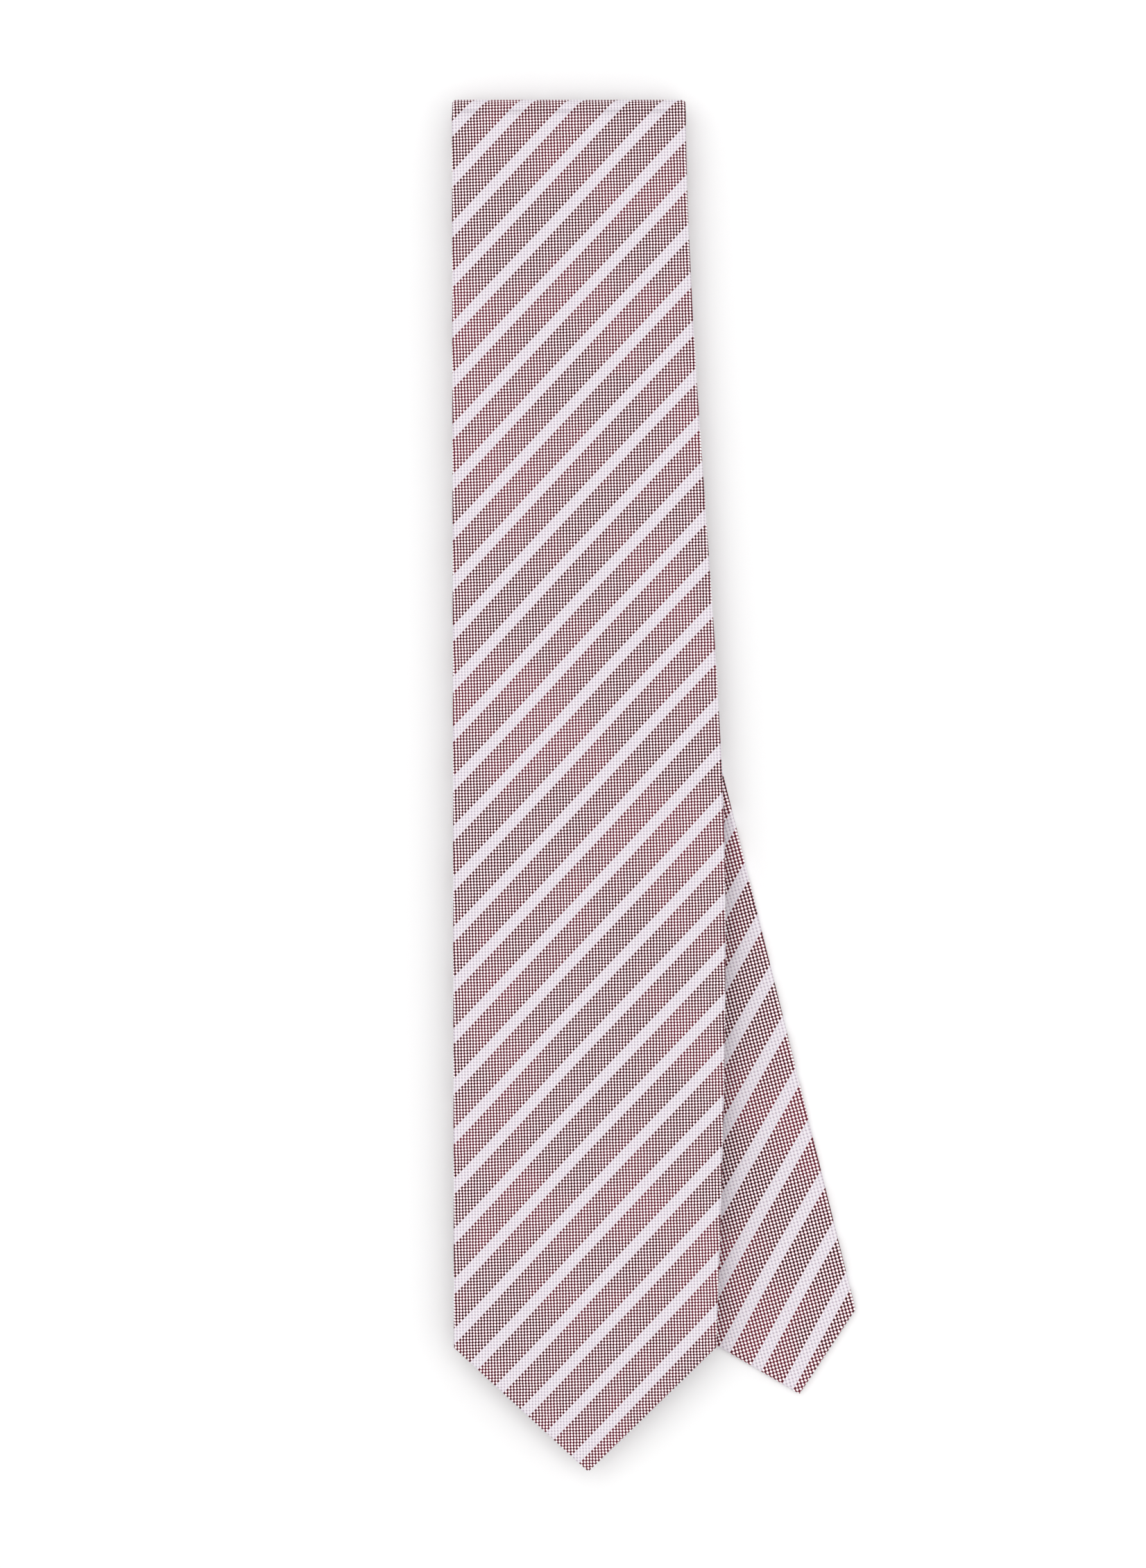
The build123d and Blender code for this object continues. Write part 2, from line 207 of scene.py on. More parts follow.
def striped_silk(name, angle, through, pitch, dark_threads):
    """Plain-woven silk: white weft over a warp of burgundy and white stripes, on the bias."""
    g = Graph(name)
    uv = g.cloth_uv()
    along, across = threads(g, uv, angle, through, pitch)
    drift = g.math("MULTIPLY_ADD", g.noise(uv, 11.0, 1.0), 2.4, -1.2)
    across = g.math("ADD", across, g.math("ADD", drift, 0.5))
    slack = g.math("MULTIPLY_ADD", g.noise(uv, 260.0, 2.0), 0.5, -0.25)
    weft, y = cells(g, g.math("ADD", along, slack))
    warp, x = cells(g, across)

    odd = g.math("FLOORED_MODULO", g.math("ADD", warp, weft), 2.0)
    first_dark = LIGHT_THREADS // 2 + 1.0
    stripe = float(LIGHT_THREADS + dark_threads)
    band = g.math("FLOORED_MODULO", g.math("SUBTRACT", warp, first_dark), stripe)
    dark = g.math("LESS_THAN", band, float(dark_threads))

    lean = g.math("MULTIPLY_ADD", x, -0.16, y)
    weft_oval = oval(g, x, lean, 0.64, 0.44)
    warp_oval = oval(g, x, y, 0.54, 0.56)
    weft_top = g.math("SUBTRACT", 1.0, g.smooth(weft_oval, 0.74, 1.18))
    warp_core = g.math("SUBTRACT", 1.0, g.smooth(warp_oval, 0.55, 1.05))

    redness = g.noise(uv, 26.0, 3.0, 0.6)
    thread_tone = g.noise(uv, 900.0, 1.0)
    wine = g.mix(thread_tone, rgb(120, 28, 48), rgb(170, 86, 100))
    black = g.mix(g.smooth(redness, 0.4, 0.64), rgb(14, 0, 8), rgb(84, 10, 34))
    dark_warp = g.mix(warp_core, wine, black)
    white = rgb(254, 250, 253)
    dark_weft = g.mix(weft_top, wine, white)
    dark_cell = g.mix(odd, dark_warp, dark_weft)

    dash = g.math("SUBTRACT", 1.0, g.smooth(oval(g, x, lean, 0.56, 0.26), 0.4, 1.3))
    light_warp = g.mix(dash, rgb(220, 212, 220), rgb(182, 166, 180))
    light_weft = g.mix(weft_top, rgb(220, 212, 220), rgb(236, 230, 236))
    light_cell = g.mix(odd, light_warp, light_weft)
    color = g.mix(dark, light_cell, dark_cell)

    lens = g.math("MULTIPLY", g.math("COSINE", g.math("MULTIPLY", x, math.pi)),
                  g.math("COSINE", g.math("MULTIPLY", y, math.pi)))
    g.bump(lens, 0.35, 0.12 * MM)
    return g.finish(color, 0.55, sheen=0.08, specular=0.14)


def plain_cloth(name, color, deep_and_shade, pitch, roughness, sheen, fuzz=0.0):
    """A one-coloured weave: threads of two tones, a little fuzz on wool, and painted shade where each
    thread dips at its edges.
    """
    g = Graph(name)
    uv = g.cloth_uv()
    along, across = threads(g, uv, math.radians(45), (0.0, 0.0), pitch)
    weft, y = cells(g, along)
    warp, x = cells(g, across)
    odd = g.math("FLOORED_MODULO", g.math("ADD", warp, weft), 2.0)
    lens = g.math("MULTIPLY", g.math("COSINE", g.math("MULTIPLY", x, math.pi)),
                  g.math("COSINE", g.math("MULTIPLY", y, math.pi)))
    hairs = g.noise(uv, 1500.0, 3.0, 0.7)
    # Painted shade: the colour falls to the deep colour where the thread's lens height drops at its
    # edges, on top of the random fuzz and the two thread tones.
    tone_and_shade = g.math("MULTIPLY_ADD", hairs, 0.35, g.math("MULTIPLY", lens, 0.5), clamp=True)
    tone_and_shade = g.math("MULTIPLY_ADD", odd, 0.12, tone_and_shade, clamp=True)
    height = g.math("MULTIPLY_ADD", hairs, fuzz, lens)
    g.bump(height, 0.4, 0.5 * pitch)
    return g.finish(g.mix(tone_and_shade, deep_and_shade, color), roughness, sheen=sheen, specular=0.35)


def satin(name, color, deep_and_shade, pitch, twist=0.0):
    """A satin face or a twisted thread: fine lines along the cloth, with painted shade in the grooves
    between them.
    """
    g = Graph(name)
    s, t = g.split(g.cloth_uv())
    line = g.math("MULTIPLY_ADD", s, 1 / pitch, g.math("MULTIPLY", t, twist / pitch))
    ridge = g.math("MULTIPLY_ADD", g.math("SINE", g.math("MULTIPLY", line, 2 * math.pi)), 0.5, 0.5)
    streak = g.noise(g.cloth_uv(), 700.0, 2.0)
    # Painted shade: the colour goes to the deep colour in the grooves where the ridge height is low,
    # mixed with random streaks.
    tone_and_shade = g.math("MULTIPLY_ADD", ridge, 0.6, g.math("MULTIPLY", streak, 0.4))
    g.bump(ridge, 0.4, 0.3 * pitch)
    return g.finish(g.mix(tone_and_shade, deep_and_shade, color), 0.38, sheen=0.2, specular=0.5)


# ---------------------------------------------------------------- geometry helpers

class Cloth:
    """Collects grids of points with their places on the flat cloth, welded where they meet."""

    def __init__(self):
        self.points = []
        self.flat = []
        self.faces = []
        self.seen = {}

    def add(self, point, flat):
        key = tuple(round(c * 1e6) for c in point)
        if key not in self.seen:
            self.seen[key] = len(self.points)
            self.points.append(tuple(point))
            self.flat.append(flat)
        return self.seen[key]

    def grid(self, rows):
        """rows is a list of equal lists of (point, flat)."""
        index = [[self.add(*spot) for spot in row] for row in rows]
        for upper, lower in zip(index, index[1:]):
            for k in range(len(upper) - 1):
                face = [upper[k], lower[k], lower[k + 1], upper[k + 1]]
                if len(set(face)) == 4:
                    self.faces.append(face)
                elif len(set(face)) == 3:
                    self.faces.append(sorted(set(face), key=face.index))

    def build(self, name, material, body=None, thickness=0.0):
        mesh = bpy.data.meshes.new(name)
        mesh.from_pydata(self.points, [], self.faces)
        layer = mesh.uv_layers.new(name="cloth")
        for loop in mesh.loops:
            layer.data[loop.index].uv = self.flat[loop.vertex_index]
        mesh.materials.append(material)
        mesh.polygons.foreach_set("use_smooth", [True] * len(mesh.polygons))
        mesh.update()
        piece = bpy.data.objects.new(name, mesh)
        bpy.context.scene.collection.objects.link(piece)
        if thickness:
            solid = piece.modifiers.new("Solidify", "SOLIDIFY")
            solid.thickness = thickness
            solid.offset = 0.0
        if body:
            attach(piece, body)
        return piece


def crease(joint):
    """A crease's middle, its direction and the height of its axis."""
    j = JOINTS[joint]
    direction = Vector(j["axis"][:2]).normalized()
    return Vector(j["pos_m"][:2]), direction, j["pos_m"][2]


def mirror(joint):
    """The reflection of the plan across a crease, as a 3 by 3 matrix."""
    p, d, _ = crease(joint)
    c, s = d.x * d.x - d.y * d.y, 2 * d.x * d.y
    turn = Matrix(((c, s), (s, -c)))
    shift = p - turn @ p
    return Matrix(((c, s, shift.x), (s, -c, shift.y), (0, 0, 1)))


def shifted(v):
    return Matrix(((1, 0, v.x), (0, 1, v.y), (0, 0, 1)))


def half_at(distance):
    """Half the thickness of a run, this far in from a rolled edge."""
    d = min(max(distance, 0.0), ROLL) / ROLL
    return HALF * math.sqrt(max(0.0, 1 - (1 - d) ** 2))


class Run:
    """One flat run of the tie, in a level frame of its own with y towards its upper end."""

    def __init__(self, body, up, top, bottom=None, point=0.0, front=1):
        self.body = body
        self.node = NODES[body + "_shell"]
        self.up = Vector(up).normalized()
        self.across = Vector((self.up.y, -self.up.x))
        self.front = front
        self.origin = crease(top)[0]
        self.top_line = self.line(top)
        self.bottom_line = self.line(bottom) if bottom else None
        self.point = point
        self.bvh = BVHTree.FromPolygons([v.co for v in self.node.data.vertices],
                                        [p.vertices[:] for p in self.node.data.polygons])
        self.measure()

    def line(self, joint):
        """A crease in the run's frame: (x, y, slope)."""
        p, d, _ = crease(joint)
        x, y = self.local(p)
        return x, y, d.dot(self.up) / d.dot(self.across)

    def local(self, p):
        q = Vector(p[:2]) - self.origin
        return q.dot(self.across), q.dot(self.up)

    def world(self, x, y):
        return self.origin + self.across * x + self.up * y

    def hit(self, x, y, z, direction):
        """Where a ray from (x, y, z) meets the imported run, in the run's frame."""
        start = self.world(x, y)
        way = Vector((0, 0, -1)) if direction == 0 else Vector((*(self.across * direction), 0))
        found = self.bvh.ray_cast(Vector((start.x, start.y, z)), way)[0]
        if found is None:
            return None
        return (*self.local(found), found.z)

    def measure(self):
        """Reads the run's two edges and its upper side at stations from end to end."""
        ys = [self.local(v.co)[1] for v in self.node.data.vertices]
        self.lowest = min(ys)
        self.stations = []
        reach = 0.3
        clear = 18 * MM if self.bottom_line or abs(self.top_line[2]) > 0.5 else 1.5 * MM
        if abs(self.top_line[2]) > 0.9:
            span = [0.5 * (self.top_line[1] + self.bottom_line[1])]
        else:
            high = self.top_line[1] - max(4 * MM, abs(self.top_line[2]) * 30 * MM)
            low = (self.bottom_line[1] + clear if self.bottom_line
                   else self.lowest + self.point + 0.3 * MM)
            span = [high + (low - high) * k / 80 for k in range(81)]
        middle = 0.0
        for y in span:
            above = self.hit(middle + 3 * MM, y, 0.1, 0)
            mid_height = above[2] - 1.2 * MM
            left = self.hit(-reach, y, mid_height, 1)[0]
            right = self.hit(reach, y, mid_height, -1)[0]
            middle = (left + right) / 2
            self.stations.append((y, left, right, mid_height))
        if self.point:
            tip = min(self.node.data.vertices, key=lambda v: self.local(v.co)[1])
            self.tip = self.local(tip.co)
            self.corner_y = self.lowest + self.point

    def at(self, y):
        """(left, right, height of the middle) of the run at y."""
        s = self.stations
        if y >= s[0][0]:
            return s[0][1:]
        for a, b in zip(s, s[1:]):
            if y >= b[0]:
                f = (a[0] - y) / (a[0] - b[0])
                return tuple(p + (q - p) * f for p, q in zip(a[1:], b[1:]))
        return s[-1][1:]

    def top(self, x):
        px, py, slope = self.top_line
        return py + (x - px) * slope - HINGE_GAP * math.hypot(1, slope)

    def bottom(self, x):
        """The lower end: a crease, or the two straight edges of a point."""
        if self.bottom_line:
            px, py, slope = self.bottom_line
            return py + (x - px) * slope + HINGE_GAP * math.hypot(1, slope)
        left, right, _ = self.at(self.corner_y)
        side = left if x < self.tip[0] else right
        share = abs((x - self.tip[0]) / (side - self.tip[0]))
        return self.tip[1] + (self.corner_y - self.tip[1]) * share

    def flap_end(self, x):
        """The lower edge of a back flap: it rises from the corner towards the middle."""
        if self.bottom_line:
            return self.bottom(x)
        left, right, _ = self.at(self.corner_y)
        return self.corner_y + FLAP_RISE * max(0.0, min(x - left, right - x))

    def inset(self, x, y):
        """Distance to the nearest rolled edge."""
        left, right, _ = self.at(y)
        d = min(x - left, right - x)
        if self.point:
            slope = (self.corner_y - self.tip[1]) / ((right - left) / 2)
            d = min(d, (y - self.bottom(x)) / math.hypot(1, slope))
        return max(d, 0.0)

    def columns(self):
        """Across the run: (edge, inset) close to an edge, or (0, share of the half width)."""
        left, right, _ = self.at(self.stations[len(self.stations) // 2][0])
        count = max(4, round((right - left) / 2 / COLUMN))
        inner = [(0, k / count) for k in range(-count + 1, count)]
        return [(-1, e) for e in EDGE_STEPS] + inner + [(1, e) for e in reversed(EDGE_STEPS)]

    def rows(self, length):
        """Along the run: (share of the length, 0), or (None, height above the lower end)."""
        count = max(2, round(length / COLUMN))
        near = [(None, POINT_SLANT * e) for e in reversed(EDGE_STEPS)] if self.point else [(None, 0.0)]
        return [(k / count, near[0][1]) for k in range(count)] + near

    def spot(self, column, row, end):
        """A point of the plan, where a column crosses a row that ends at end(x)."""
        x = 0.5 * (self.at(0)[0] + self.at(0)[1])
        for _ in range(6):
            if row[0] is None:
                y = end(x) + row[1]
            else:
                low = end(x) + row[1]
                y = self.top(x) + (low - self.top(x)) * row[0]
            left, right, _ = self.at(y)
            if column[0] == 0:
                half = (right - left) / 2 - EDGE_STEPS[-1]
                x = (left + right) / 2 + column[1] * half + self.lean(y) * (1 - abs(column[1]))
            else:
                x = left + column[1] if column[0] < 0 else right - column[1]
        return x, y

    def lean(self, y):
        """How far the columns near the middle lean over to meet the tip."""
        if not self.point:
            return 0.0
        left, right, _ = self.at(self.corner_y)
        share = min(max((self.corner_y + self.point / 2 - y) / (self.point / 2), 0.0), 1.0)
        return share * (self.tip[0] - (left + right) / 2)

    def behind(self, x, y, edge_x=None):
        """Where a point of the back flaps lies on the unfolded plan: mirrored over its edge."""
        left, right, _ = self.at(y)
        ahead = x if edge_x is None else edge_x
        edge = left if ahead < (left + right) / 2 else right
        return 2 * edge - x, y

    def hem(self, x, y):
        """Where a point of the hem lies on the unfolded plan: mirrored over the point's edge."""
        left, right, _ = self.at(self.corner_y)
        side = left if x < self.tip[0] else right
        edge = Vector((side - self.tip[0], self.corner_y - self.tip[1])).normalized()
        q = Vector((x - self.tip[0], y - self.tip[1]))
        turned = 2 * q.dot(edge) * edge - q
        return self.tip[0] + turned.x, self.tip[1] + turned.y

    def length(self):
        return self.top_line[1] - (self.bottom_line[1] if self.bottom_line else self.lowest)

    def flat_size(self):
        """The cut size of the silk: twice the widest place, by the length."""
        widest = max(right - left for _, left, right, _ in self.stations)
        return 2 * widest, self.length()

    def flat_area(self):
        mean = sum(right - left for _, left, right, _ in self.stations) / len(self.stations)
        tip = mean * self.point * 0.75 if self.point else 0.0
        return 2 * (mean * self.length() - tip)


# ---------------------------------------------------------------- the runs and their cloth

tail_fold = mirror("tail_fold_open")
tail_up = -(tail_fold.to_2x2() @ Vector((0, 1)))
RUNS = {
    "blade": Run("blade", (0, 1), "blade_fold_open", point=BLADE_POINT, front=1),
    "blade_neck": Run("blade_neck", (0, 1), "blade_fold_open", "blade_turn_open", front=-1),
    "neck_band": Run("neck_band", (1, 0), "blade_turn_open", "tail_turn_open", front=1),
    "tail_neck": Run("tail_neck", (0, 1), "tail_fold_open", "tail_turn_open", front=-1),
    "tail": Run("tail", tail_up, "tail_fold_open", point=TAIL_POINT, front=1),
}
FOLDS = {
    # name: (joint, upper run, lower run, is the front silk on the outside of the bend)
    "top_fold": ("blade_fold_open", "blade", "blade_neck", True),
    "blade_turn": ("blade_turn_open", "blade_neck", "neck_band", False),
    "tail_turn": ("tail_turn_open", "neck_band", "tail_neck", True),
    "tail_fold": ("tail_fold_open", "tail_neck", "tail", False),
}


def away(joint, run):
    """The level direction from a run out over its crease."""
    _, d, _ = crease(joint)
    out = Vector((-d.y, d.x))
    y, left, right, _ = RUNS[run].stations[-1]
    middle = RUNS[run].world(0.5 * (left + right), y)
    return out if out.dot(crease(joint)[0] - middle) > 0 else -out


def fold_middle(name):
    """Radius of the middle of the cloth at a fold."""
    joint, upper, _, _ = FOLDS[name]
    end = RUNS[upper].stations[-1 if name == "blade_turn" else 0]
    return abs(end[3] - crease(joint)[2])


def silk_arc(name):
    """Length of the front silk around a fold."""
    outside = FOLDS[name][3]
    return math.pi * max(0.2 * MM, fold_middle(name) + (HALF if outside else -HALF))


# Each run's map from the plan to the flat cloth, unfolded at every crease from the point on.
FLAT = {"blade": Matrix.Identity(3), "tail": Matrix.Identity(3)}


def unfolded(body, fold):
    """The map of the run beyond a fold, from the map of the run before it."""
    joint = FOLDS[fold][0]
    return FLAT[body] @ shifted(away(joint, body) * silk_arc(fold)) @ mirror(joint)


FLAT["blade_neck"] = unfolded("blade", "top_fold")
FLAT["neck_band"] = unfolded("blade_neck", "blade_turn")
FLAT["tail_neck"] = unfolded("tail", "tail_fold")


def flat(body, p):
    q = FLAT[body] @ Vector((p[0], p[1], 1))
    return q.x, q.y


def wave(p, size, amount):
    """A gentle unevenness of pressed cloth."""
    return amount * noise.noise(Vector((p[0] / size, p[1] / size, 0.37)))


POINT_DROOP_FROM = RUNS["blade"].world(0, RUNS["blade"].lowest)[1] + POINT_DROOP_RUN


def lift(run, p):
    """How far the cloth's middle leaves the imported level: only the free blade and point do."""
    if run.body != "blade":
        return 0.0
    down = max(0.0, -(p[1] - POINT_DROOP_FROM)) / POINT_DROOP_RUN
    return -POINT_DROOP * min(down, 1.0) ** 2


def surface(run, x, y, side, depth=0.0, flat_x=None, flat_y=None):
    """A point on a run's front (side 1) or back (side -1), and its place on the flat cloth."""
    p = run.world(x, y)
    height = run.at(y)[2]
    d = run.inset(x, y)
    half = max(0.0, half_at(d) - (depth if d > 0 else 0.0))
    crown = 0.0
    if side > 0 and run.body in ("blade", "tail"):
        crown = min(d / (12 * MM), 1.0) * (0.1 * MM + wave(p, 55 * MM, 0.22 * MM))
    z = height + run.front * side * (half + crown) + lift(run, p)
    place = run.world(x if flat_x is None else flat_x, y if flat_y is None else flat_y)
    return (p.x, p.y, z), flat(run.body, place)


def make_shell(run, silk):
    """The silk tube: front, two back flaps that lap at the seam, and the hem of a point."""
    cloth = Cloth()
    columns = run.columns()
    rows = run.rows(run.length())
    cloth.grid([[surface(run, *run.spot(c, r, run.bottom), 1) for c in columns] for r in rows])

    middle = len(columns) // 2
    for side, lap, depth in ((-1, -1, 0.0), (1, 1, UNDER)):
        edge_first = [c for c in (columns if side < 0 else columns[::-1])][: middle + 1]
        grid = []
        for r in rows:
            line = []
            for k, c in enumerate(edge_first):
                x, y = run.spot(c, r, run.flap_end)
                left, right, _ = run.at(y)
                edge = left if side < 0 else right
                sink = depth * min(max(k - 8, 0) / 6, 1.0)
                if k == middle:
                    x += SEAM_LAP
                line.append(surface(run, x, y, -1, sink, flat_x=2 * edge - x))
            grid.append(line)
        cloth.grid(grid)

    if run.point:
        bands = [0.0, 0.12 * MM, 0.4 * MM, 0.85 * MM, 1.5 * MM, 3 * MM, 5 * MM, HEM]
        grid = []
        for band in bands:
            line = []
            for c in columns:
                x, y = run.spot(c, (None, POINT_SLANT * band), run.bottom)
                line.append(surface(run, x, y, -1, UNDER, *run.hem(x, y)))
            grid.append(line)
        cloth.grid(grid)
    piece = cloth.build(run.body + "_silk", silk, run.body, SILK)
    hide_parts(run.body + "_shell")
    return piece


def close_layer(cloth, upper, lower):
    """Two facing grids, and the four strips that close them."""
    for grid in (upper, lower, [upper[0], lower[0]], [upper[-1], lower[-1]],
                 [[row[0] for row in upper], [row[0] for row in lower]],
                 [[row[-1] for row in upper], [row[-1] for row in lower]]):
        cloth.grid(grid)


def make_filling(run, node, name, material, inset, low, high, start=None):
    """A closed flat layer inside a run, between two heights from the run's middle."""
    cloth = Cloth()
    columns = [c if c[0] == 0 else (c[0], c[1] + inset) for c in run.columns()]
    columns = [c for c in columns if c[0] == 0 or c[1] in (inset, inset + EDGE_STEPS[-1])]
    rows = [r for r in run.rows(run.length()) if r[0] is not None]
    rows = rows[::2] + [(None, POINT_SLANT * inset)]
    if start is not None:
        first = POINT_SLANT * inset
        rows = [(None, first + (start - first) * k / 40) for k in range(40, -1, -1)]
    faces = []
    for level in (high, low):
        grid = []
        for r in rows:
            line = []
            for c in columns:
                x, y = run.spot(c, r, run.bottom)
                p = run.world(x, y)
                z = run.at(y)[2] + run.front * level + lift(run, p)
                line.append(((p.x, p.y, z), flat(run.body, p)))
            grid.append(line)
        faces.append(grid)
    close_layer(cloth, *faces)
    piece = cloth.build(name, material, run.body)
    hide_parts(node)
    return piece


def make_fold(name, silk, wool):
    """The bend of the silk tube and its interlining about a crease."""
    joint, upper, _, outside = FOLDS[name]
    p, _, axis_z = crease(joint)
    run = RUNS[upper]
    out = away(joint, upper)
    mean = fold_middle(name)
    steps = 14
    at_top = joint in ("blade_fold_open", "tail_fold_open")
    end = run.top if at_top else run.bottom
    section = []
    for c in run.columns():
        x, y = run.spot(c, (0.0, 0.0) if at_top else (None, 0.0), end)
        left, right, _ = run.at(y)
        section.append((run.world(x, y), min(x - left, right - x)))

    def ring(points, half_of, sign):
        """One side of the bend: the front silk, or the two flaps, mirrored over their edges."""
        arc = math.pi * max(0.2 * MM, mean + sign * HALF)
        grid = []
        for k in range(steps + 1):
            angle = math.pi * k / steps
            line = []
            for q, inset in points:
                radius = mean + sign * half_of(inset)
                side = out * (radius * math.sin(angle))
                place = q + out * (arc * k / steps)
                if (sign > 0) != outside:
                    place = run.world(*run.behind(*run.local(place), edge_x=run.local(q)[0]))
                spot = (q.x + side.x, q.y + side.y, axis_z + radius * math.cos(angle))
                line.append((spot, flat(upper, place)))
            grid.append(line)
        return grid

    cloth = Cloth()
    cloth.grid(ring(section, half_at, 1))
    cloth.grid(ring(section, half_at, -1))
    shell = cloth.build(name + "_silk", silk, thickness=SILK)
    inner = [s for s in section if s[1] >= EDGE_STEPS[-1] - 1e-6]
    body = Cloth()
    thick = HALF - 0.4 * MM
    close_layer(body, ring(inner, lambda _: thick, 1), ring(inner, lambda _: thick, -1))
    filling = body.build(name + "_wool", wool)
    for piece, node, slot in ((shell, "_shell", "striped_silk"),
                              (filling, "_interlining", "interlining_wool")):
        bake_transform(piece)
        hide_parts(name + node)
    return shell, filling


# ---------------------------------------------------------------- thread, loop and labels

def tube(cloth, path, radius, sides=6):
    """A round thread along a short path, with its cloth place running along it."""
    rows = []
    for k, point in enumerate(path):
        before, after = path[max(k - 1, 0)], path[min(k + 1, len(path) - 1)]
        along = (after - before).normalized()
        side = along.cross(Vector((0, 0, 1))).normalized()
        rise = side.cross(along)
        size = radius * (0.55 if k in (0, len(path) - 1) else 1.0)
        row = []
        for n in range(sides + 1):
            turn = 2 * math.pi * n / sides
            spot = point + side * (size * math.cos(turn)) + rise * (size * math.sin(turn))
            row.append((spot, (radius * turn, (point - path[0]).length)))
        rows.append(row)
    cloth.grid(rows)


def stitch(cloth, start, end, radius, arch):
    """One stitch between two points, standing off the cloth in the middle by arch."""
    steps = 6
    path = []
    for k in range(steps + 1):
        f = k / steps
        path.append(start.lerp(end, f) + Vector((0, 0, arch * math.sin(math.pi * f))))
    tube(cloth, path, radius)


def on_back(run, x, y, inward=0.0):
    """A point on the outside of a run's back, or a little inside it."""
    p = run.world(x, y)
    z = run.at(y)[2] - run.front * (HALF + SILK / 2 - inward) + lift(run, p)
    return Vector((p.x, p.y, z))


def seam_x(run, y):
    left, right, _ = run.at(y)
    return (left + right) / 2 + SEAM_LAP


def finish_thread(cloth, name, run, node):
    piece = cloth.build(name, thread_mat, run.body)
    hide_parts(node)
    return piece


def slip_stitch(cloth, run, y, arch):
    """One slanted stitch over the edge of the upper flap."""
    x = seam_x(run, y)
    start = on_back(run, x - SLIP_LEAD, y - SLIP_RISE, 0.1 * MM)
    end = on_back(run, x + SLIP_CATCH, y + SLIP_RISE, 0.2 * MM)
    stitch(cloth, start, end, THREAD_RADIUS, arch)


def make_slip_stitches(run):
    """The seam's stitches from end to end, or a single one where the run is too short for a row."""
    cloth = Cloth()
    y = run.top_line[1] - STITCH_PITCH
    if run.point:
        left, right, _ = run.at(run.lowest)
        last = run.flap_end((left + right) / 2)
    else:
        last = run.bottom(seam_x(run, y))
    while y > last + (STITCH_PITCH if run.point or run.length() < 0.1 else 2 * STITCH_PITCH):
        slip_stitch(cloth, run, y, -run.front * 0.05 * MM)
        y -= STITCH_PITCH
    if not cloth.points:
        slip_stitch(cloth, run, 0.5 * (run.top_line[1] + last), 0.0)
    finish_thread(cloth, run.body + "_slip_thread", run, run.body + "_slip_stitch")


def make_bar_tack(run):
    """Close wraps of thread over a short bar where the two flaps part."""
    cloth = Cloth()
    left, right, _ = run.at(run.corner_y)
    x = (left + right) / 2
    y = run.flap_end(x) + TACK_ABOVE
    half = TACK_LENGTH / 2
    stitch(cloth, on_back(run, x - half, y, 0.15 * MM), on_back(run, x + half, y, 0.15 * MM),
           0.3 * MM, 0.0)
    wraps = 22
    for k in range(wraps):
        at = x - half + TACK_LENGTH * (k + 0.5) / wraps
        start = on_back(run, at - 0.1 * MM, y - 0.8 * MM, 0.1 * MM)
        end = on_back(run, at + 0.1 * MM, y + 0.8 * MM, 0.1 * MM)
        stitch(cloth, start, end, 0.2 * MM, -run.front * 0.2 * MM)
    finish_thread(cloth, run.body + "_tack_thread", run, run.body + "_bar_tack")


def make_piecing_stitches(run, node):
    """The slanted seam of the neck, where one length of silk is joined to the next."""
    cloth = Cloth()
    low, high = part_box(node)
    middle = run.local(((low[0] + high[0]) / 2, (low[1] + high[1]) / 2))
    reach = (high[0] - low[0]) / 2
    count = 12
    for k in range(count):
        at = -reach + 2 * reach * (k + 0.5) / count
        z = run.at(middle[1] + at)[2] + run.front * HALF
        a = run.world(middle[0] + at - PIECING_HALF, middle[1] + at - PIECING_HALF)
        b = run.world(middle[0] + at + PIECING_HALF, middle[1] + at + PIECING_HALF)
        stitch(cloth, Vector((a.x, a.y, z)), Vector((b.x, b.y, z)), THREAD_RADIUS, 0.0)
    finish_thread(cloth, node + "_thread", run, node)


def slab(name, center, size, thickness, material, node, body, bow=0.0, round_by=0.8 * MM):
    """A thin closed piece with soft edges, lying level under center: a label."""
    cloth = Cloth()
    run = RUNS["blade"]
    nx, ny = max(8, round(size[0] / (2 * MM))), max(8, round(size[1] / (2 * MM)))
    edge = [0.0, 0.15, 0.5, 1.0]
    xs = [e * round_by - size[0] / 2 for e in edge]
    xs += [-size[0] / 2 + round_by + (size[0] - 2 * round_by) * k / nx for k in range(1, nx)]
    xs += [-x for x in reversed(xs[:4])]
    ys = [e * round_by - size[1] / 2 for e in edge]
    ys += [-size[1] / 2 + round_by + (size[1] - 2 * round_by) * k / ny for k in range(1, ny)]
    ys += [-y for y in reversed(ys[:4])]
    for side in (1, -1):
        grid = []
        for y in ys:
            line = []
            for x in xs:
                d = min(size[0] / 2 - abs(x), size[1] / 2 - abs(y), round_by) / round_by
                half = thickness / 2 * math.sqrt(max(0.0, 1 - (1 - d) ** 2))
                p = Vector((center[0] + x, center[1] + y))
                ripple = bow * (1 - (2 * x / size[0]) ** 2) + wave(p, 9 * MM, 0.5 * bow)
                z = center[2] + side * half - ripple + lift(run, p)
                line.append(((p.x, p.y, z), (x, y)))
            grid.append(line)
        cloth.grid(grid)
    piece = cloth.build(name, material, body)
    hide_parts(node)
    return piece


